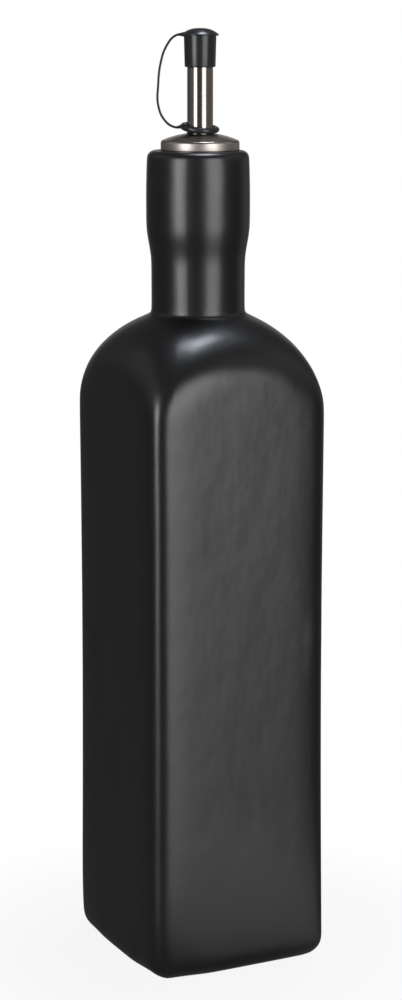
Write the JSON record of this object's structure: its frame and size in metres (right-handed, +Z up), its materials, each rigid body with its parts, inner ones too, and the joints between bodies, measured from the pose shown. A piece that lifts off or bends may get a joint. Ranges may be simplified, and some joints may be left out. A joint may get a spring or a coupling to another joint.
{
  "type": "oil dispenser",
  "caption": "Tall square ceramic oil bottle, matt black, with a round neck, a steel pouring spout and a black push-on cap held by a strap and ring.",
  "frame": {"origin": "centre of the foot, on the surface that the bottle stands on", "axes": "+Z up the bottle, X and Y square to its flat sides; the cap's strap lies on the -X side, turned towards +Y"},
  "size_m": [0.0626, 0.0625, 0.2984],
  "materials": {
    "glaze": "matt",
    "steel": "satin to polished",
    "cap_plastic": "satin"
  },
  "bodies": {
    "root": {"bottle": "glaze", "pourer_flange": "steel", "spout_tube": "steel", "pour_cap": "cap_plastic"}
  },
  "joints": []
}
